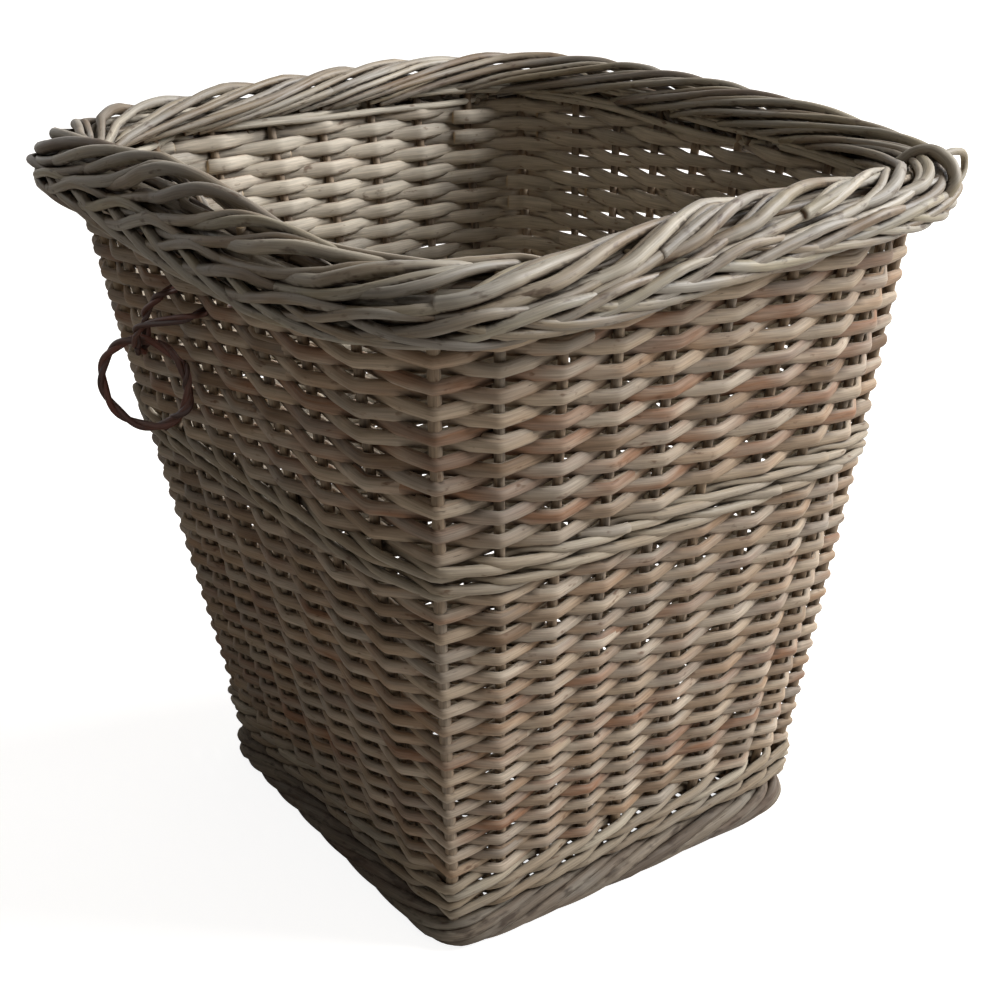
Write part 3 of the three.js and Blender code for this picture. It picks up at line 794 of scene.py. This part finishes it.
def willow(name, tones, marks, cut, roughness=0.62, gloss=0.22, kept_pale=None, shade_cover=0.7):
    """Willow rods. Each has its own tone, and its fibres run along it. A mark is a stain of the
    surface: how long and wide its patches are in millimetres, the noise levels where it starts and
    is full, how much it covers and its colour. A cut end shows the pith or old grime. Where a side
    was kept from light and hands, inside the basket, it has stayed pale. The hollows between the
    rods, where other rods crowd close, are darkened with painted shade, and the last argument says
    how much of the wood that painted shade covers there."""
    finish = bpy.data.materials.new(name)
    finish.use_nodes = True
    tree = finish.node_tree
    tree.nodes.clear()
    grain = add(tree, "ShaderNodeAttribute", {}, attribute_name="grain").outputs["Vector"]
    tone = add(tree, "ShaderNodeAttribute", {}, attribute_name="tone").outputs["Vector"]
    own = add(tree, "ShaderNodeSeparateXYZ", {"Vector": tone})
    # Each rod's tone drifts in patches about 38 mm long and 6 mm wide
    patch = add(tree, "ShaderNodeMapping", {"Vector": grain, "Scale": (1 / 0.038, 1 / 0.006, 1 / 0.006)})
    patch = add(tree, "ShaderNodeTexNoise", {"Vector": patch.outputs[0], "Scale": 1.0, "Detail": 2.0})
    place = add(tree, "ShaderNodeMath", {0: patch.outputs[0], 1: 0.5, 2: -0.25}, operation="MULTIPLY_ADD")
    place = add(tree, "ShaderNodeMath", {0: own.outputs["X"], 1: place.outputs[0]}, operation="ADD")
    colour = add(tree, "ShaderNodeValToRGB", {"Fac": place.outputs[0]}, tones).outputs["Color"]
    if kept_pale:
        inner = add(tree, "ShaderNodeMapRange", {
            "Value": own.outputs["Y"], "From Min": 0.35, "From Max": 0.75, "To Max": 0.8,
        })
        colour = add(tree, "ShaderNodeMix", {0: inner.outputs[0], 6: colour, 7: linear(kept_pale)},
                     data_type="RGBA").outputs[2]
    for long, wide, start, full, cover, stain in marks:
        scale = (1 / (long * MM), 1 / (wide * MM), 1 / (wide * MM))
        spread = add(tree, "ShaderNodeMapping", {"Vector": grain, "Scale": scale})
        cloud = add(tree, "ShaderNodeTexNoise", {"Vector": spread.outputs[0], "Scale": 1.0, "Detail": 3.0})
        amount = add(tree, "ShaderNodeMapRange", {
            "Value": cloud.outputs[0], "From Min": start, "From Max": full, "To Max": cover,
        })
        colour = add(tree, "ShaderNodeMix", {0: amount.outputs[0], 6: colour, 7: linear(stain)},
                     data_type="RGBA").outputs[2]
    # Fibres are drawn 14 mm long and 0.5 mm wide, coarser than real ones, so that they show
    thread = add(tree, "ShaderNodeMapping", {"Vector": grain, "Scale": (1 / 0.014, 1 / 0.0005, 1 / 0.0005)})
    fibre = add(tree, "ShaderNodeTexNoise", {"Vector": thread.outputs[0], "Scale": 1.0, "Detail": 3.0})
    streak = add(tree, "ShaderNodeMapRange", {
        "Value": fibre.outputs[0], "From Min": 0.3, "From Max": 0.7, "To Min": 0.74, "To Max": 1.12,
    })
    colour = add(tree, "ShaderNodeMix", {0: 1.0, 6: colour, 7: streak.outputs[0]},
                 data_type="RGBA", blend_type="MULTIPLY").outputs[2]
    # Painted shade: the wood darkens towards a dark brown where other rods crowd close round it
    hollow_shade = add(tree, "ShaderNodeAttribute", {}, attribute_name="hollow_shade").outputs["Fac"]
    shade_amount = add(tree, "ShaderNodeMapRange", {
        "Value": hollow_shade, "From Min": 0.05, "From Max": 0.75, "To Max": shade_cover,
    })
    colour = add(tree, "ShaderNodeMix", {0: shade_amount.outputs[0], 6: colour, 7: linear(PAINTED_SHADE)},
                 data_type="RGBA").outputs[2]
    colour = add(tree, "ShaderNodeMix", {0: own.outputs["Z"], 6: colour, 7: linear(cut)},
                 data_type="RGBA").outputs[2]
    bump = add(tree, "ShaderNodeBump", {
        "Height": fibre.outputs[0], "Strength": 0.35, "Distance": 0.25 * MM,
    })
    rough = add(tree, "ShaderNodeMapRange", {
        "Value": patch.outputs[0], "From Min": 0.3, "From Max": 0.7,
        "To Min": roughness - 0.08, "To Max": roughness + 0.1,
    })
    shader = add(tree, "ShaderNodeBsdfPrincipled", {
        "Base Color": colour, "Roughness": rough.outputs[0], "IOR": 1.5, "Specular IOR Level": gloss,
        "Normal": bump.outputs["Normal"],
    })
    add(tree, "ShaderNodeOutputMaterial", {"Surface": shader.outputs["BSDF"]})
    return finish


# The dark brown of the painted shade in the hollows between rods
PAINTED_SHADE = "#33261B"
PITH = "#B8A080"
GREYING = (55, 9, 0.46, 0.68, 0.6, "#978F84")  # where light and damp have taken the colour out
BUD_STAIN = (7, 2.6, 0.64, 0.74, 0.7, "#5E3E28")  # brown marks round the buds
CRACK = (9, 0.7, 0.7, 0.77, 0.7, "#35261B")  # fine drying cracks


@cache
def siding_willow():
    # Peeled willow, woven damp and dried: buff to tan, with some rods reddish
    tones = ["#745D48", "#9A846D", "#BBA891", "#A08368", "#C0B09C", "#8F6A50", "#B0A08E"]
    return willow("peeled_willow_siding", tones, [GREYING, BUD_STAIN, CRACK], PITH, kept_pale="#D0C6B4")


@cache
def wale_willow():
    # The same willow in thinner rods: paler and more even
    tones = ["#94846F", "#A99B87", "#A08F79", "#B8AC98", "#9A8872"]
    return willow("peeled_willow_wale", tones, [GREYING, BUD_STAIN, CRACK], PITH, kept_pale="#CCC3B1")


@cache
def border_willow():
    # The rods that are handled most: greyed, cracked and polished by hands, with painted shade in the
    # hollows
    tones = ["#685848", "#8F806B", "#A59A83", "#806D57", "#B5AA97", "#78644E"]
    marks = [(45, 8, 0.42, 0.62, 0.75, "#9A948A"), (7, 2.6, 0.6, 0.72, 0.75, "#4E3A2A"), CRACK]
    return willow("weathered_willow_border", tones, marks, "#5A4431", roughness=0.52, gloss=0.4, shade_cover=0.85)


@cache
def foot_willow():
    # Rubbed and soiled by the floor: dull grey-brown with dark patches
    tones = ["#63574C", "#786C5E", "#8E8272", "#6A5B4F"]
    marks = [(30, 7, 0.44, 0.64, 0.6, "#8A8378"), (9, 3, 0.54, 0.7, 0.75, "#3A2E26"), CRACK]
    return willow("soiled_willow_foot", tones, marks, "#4E3D2C", roughness=0.72)


@cache
def stake_willow():
    # Peeled rods of even thickness, which the weave keeps from light: a plain tan
    tones = ["#8E7A64", "#9C8872", "#AA967E", "#958069"]
    return willow("peeled_willow_stakes", tones, [GREYING, BUD_STAIN, CRACK], PITH)


@cache
def base_willow():
    # Like the siding, dulled by dust: an even brown
    tones = ["#7E6B55", "#927D64", "#A18C72", "#866F56"]
    return willow("peeled_willow_base", tones, [GREYING, BUD_STAIN, CRACK], "#A58E70")


@cache
def bark_withy():
    # Willow with its bark on: dark red-brown, with a slight gloss
    tones = ["#3A221A", "#4A2B20", "#613425", "#4D2E22"]
    marks = [(20, 5, 0.5, 0.7, 0.4, "#5E5048"), (6, 2, 0.6, 0.72, 0.7, "#1F130E")]
    return willow("willow_with_bark", tones, marks, "#6E543E", roughness=0.5, gloss=0.35)


# The stage

def set_camera():
    """The camera of the photograph: 60 mm on a 36 mm frame, above the rim and looking down."""
    place = Vector((0.4988, -0.406855, 0.4386))
    aim = Vector((0.0052, 0.004995, 0.1429))
    camera = bpy.data.objects.new("camera", bpy.data.cameras.new("camera"))
    bpy.context.scene.collection.objects.link(camera)
    camera.data.lens = 59.98
    camera.data.sensor_width = 36
    camera.location = place
    camera.rotation_mode = "QUATERNION"
    roll = Quaternion((0, 0, 1), math.radians(0.75))
    camera.rotation_quaternion = (aim - place).to_track_quat("-Z", "Y") @ roll
    camera.data.clip_start = 0.01
    camera.data.clip_end = 20
    bpy.context.scene.camera = camera


def hang_window():
    """A large window behind and to the right, for the basket's lit side and the inner left wall."""
    lamp = bpy.data.lights.new("window", "AREA")
    lamp.shape = "RECTANGLE"
    lamp.size = 1.7
    lamp.size_y = 1.2
    lamp.energy = 85
    lamp.color = linear("#FAFCFF")[:3]
    window = bpy.data.objects.new("window", lamp)
    turn = math.radians(58)
    climb = math.radians(36)
    far = 2.2
    level = far * math.cos(climb)
    aim = Vector((0, 0, 0.15))
    window.location = aim + Vector((level * math.cos(turn), level * math.sin(turn), far * math.sin(climb)))
    window.rotation_mode = "QUATERNION"
    window.rotation_quaternion = (aim - window.location).to_track_quat("-Z", "Y")
    bpy.context.scene.collection.objects.link(window)


def light_room():
    """Weak warm light from the walls and ceiling, most of it from above and least from the side
    away from the window. The camera and mirror rays see plain white."""
    world = bpy.data.worlds.new("room")
    bpy.context.scene.world = world
    world.use_nodes = True
    tree = world.node_tree
    tree.nodes.clear()
    way = add(tree, "ShaderNodeTexCoord", {}).outputs["Generated"]
    way = add(tree, "ShaderNodeSeparateXYZ", {"Vector": way})
    above = add(tree, "ShaderNodeMapRange", {
        "Value": way.outputs["Z"], "From Min": 0.3, "From Max": 1.0, "To Min": 0.028, "To Max": 0.29,
    })
    toward_window = add(tree, "ShaderNodeMapRange", {
        "Value": way.outputs["Y"], "From Min": -0.7, "From Max": 0.5, "To Min": 0.5, "To Max": 1.15,
    })
    power = add(tree, "ShaderNodeMath", {0: above.outputs[0], 1: toward_window.outputs[0]},
                operation="MULTIPLY").outputs[0]
    room = add(tree, "ShaderNodeBackground", {"Color": linear("#FFF5E9"), "Strength": power})
    white = add(tree, "ShaderNodeBackground", {"Color": (1, 1, 1, 1), "Strength": 1.0})
    path = add(tree, "ShaderNodeLightPath", {})
    seen = path.outputs["Is Camera Ray"]
    for ray in ("Is Glossy Ray", "Is Transmission Ray"):
        seen = add(tree, "ShaderNodeMath", {0: seen, 1: path.outputs[ray]}, operation="MAXIMUM").outputs[0]
    both = add(tree, "ShaderNodeMixShader", {0: seen, 1: room.outputs[0], 2: white.outputs[0]})
    add(tree, "ShaderNodeOutputWorld", {"Surface": both.outputs[0]})


def lay_floor():
    """A plain pale floor that looks white, with the basket's soft shadow on it."""
    mesh = bpy.data.meshes.new("floor")
    far = 6
    mesh.from_pydata([(-far, -far, 0), (far, -far, 0), (far, far, 0), (-far, far, 0)], [], [(0, 1, 2, 3)])
    floor = bpy.data.objects.new("floor", mesh)
    bpy.context.scene.collection.objects.link(floor)
    finish = bpy.data.materials.new("white_paper_floor")
    finish.use_nodes = True
    tree = finish.node_tree
    tree.nodes.clear()
    path = add(tree, "ShaderNodeLightPath", {})
    paper = add(tree, "ShaderNodeBsdfDiffuse", {"Color": linear("#D4D0CA")})
    # Over-exposed, as in the photograph: what the camera sees of it is lifted to white
    lift = add(tree, "ShaderNodeMath", {0: path.outputs["Is Camera Ray"], 1: 0.9}, operation="MULTIPLY")
    glow = add(tree, "ShaderNodeEmission", {"Color": (1, 1, 1, 1), "Strength": lift.outputs[0]})
    both = add(tree, "ShaderNodeAddShader", {0: paper.outputs[0], 1: glow.outputs[0]})
    add(tree, "ShaderNodeOutputMaterial", {"Surface": both.outputs[0]})
    mesh.materials.append(finish)


bpy.context.scene.view_settings.view_transform = "Standard"
set_camera()
hang_window()
light_room()
lay_floor()
roll_foot()
weave_base()
weave_wall()
set_uprights()
lay_plait()
lay_roll()
bend_ring()
tie_loop()
for rods, about in pieces:
    rods.make(*about)
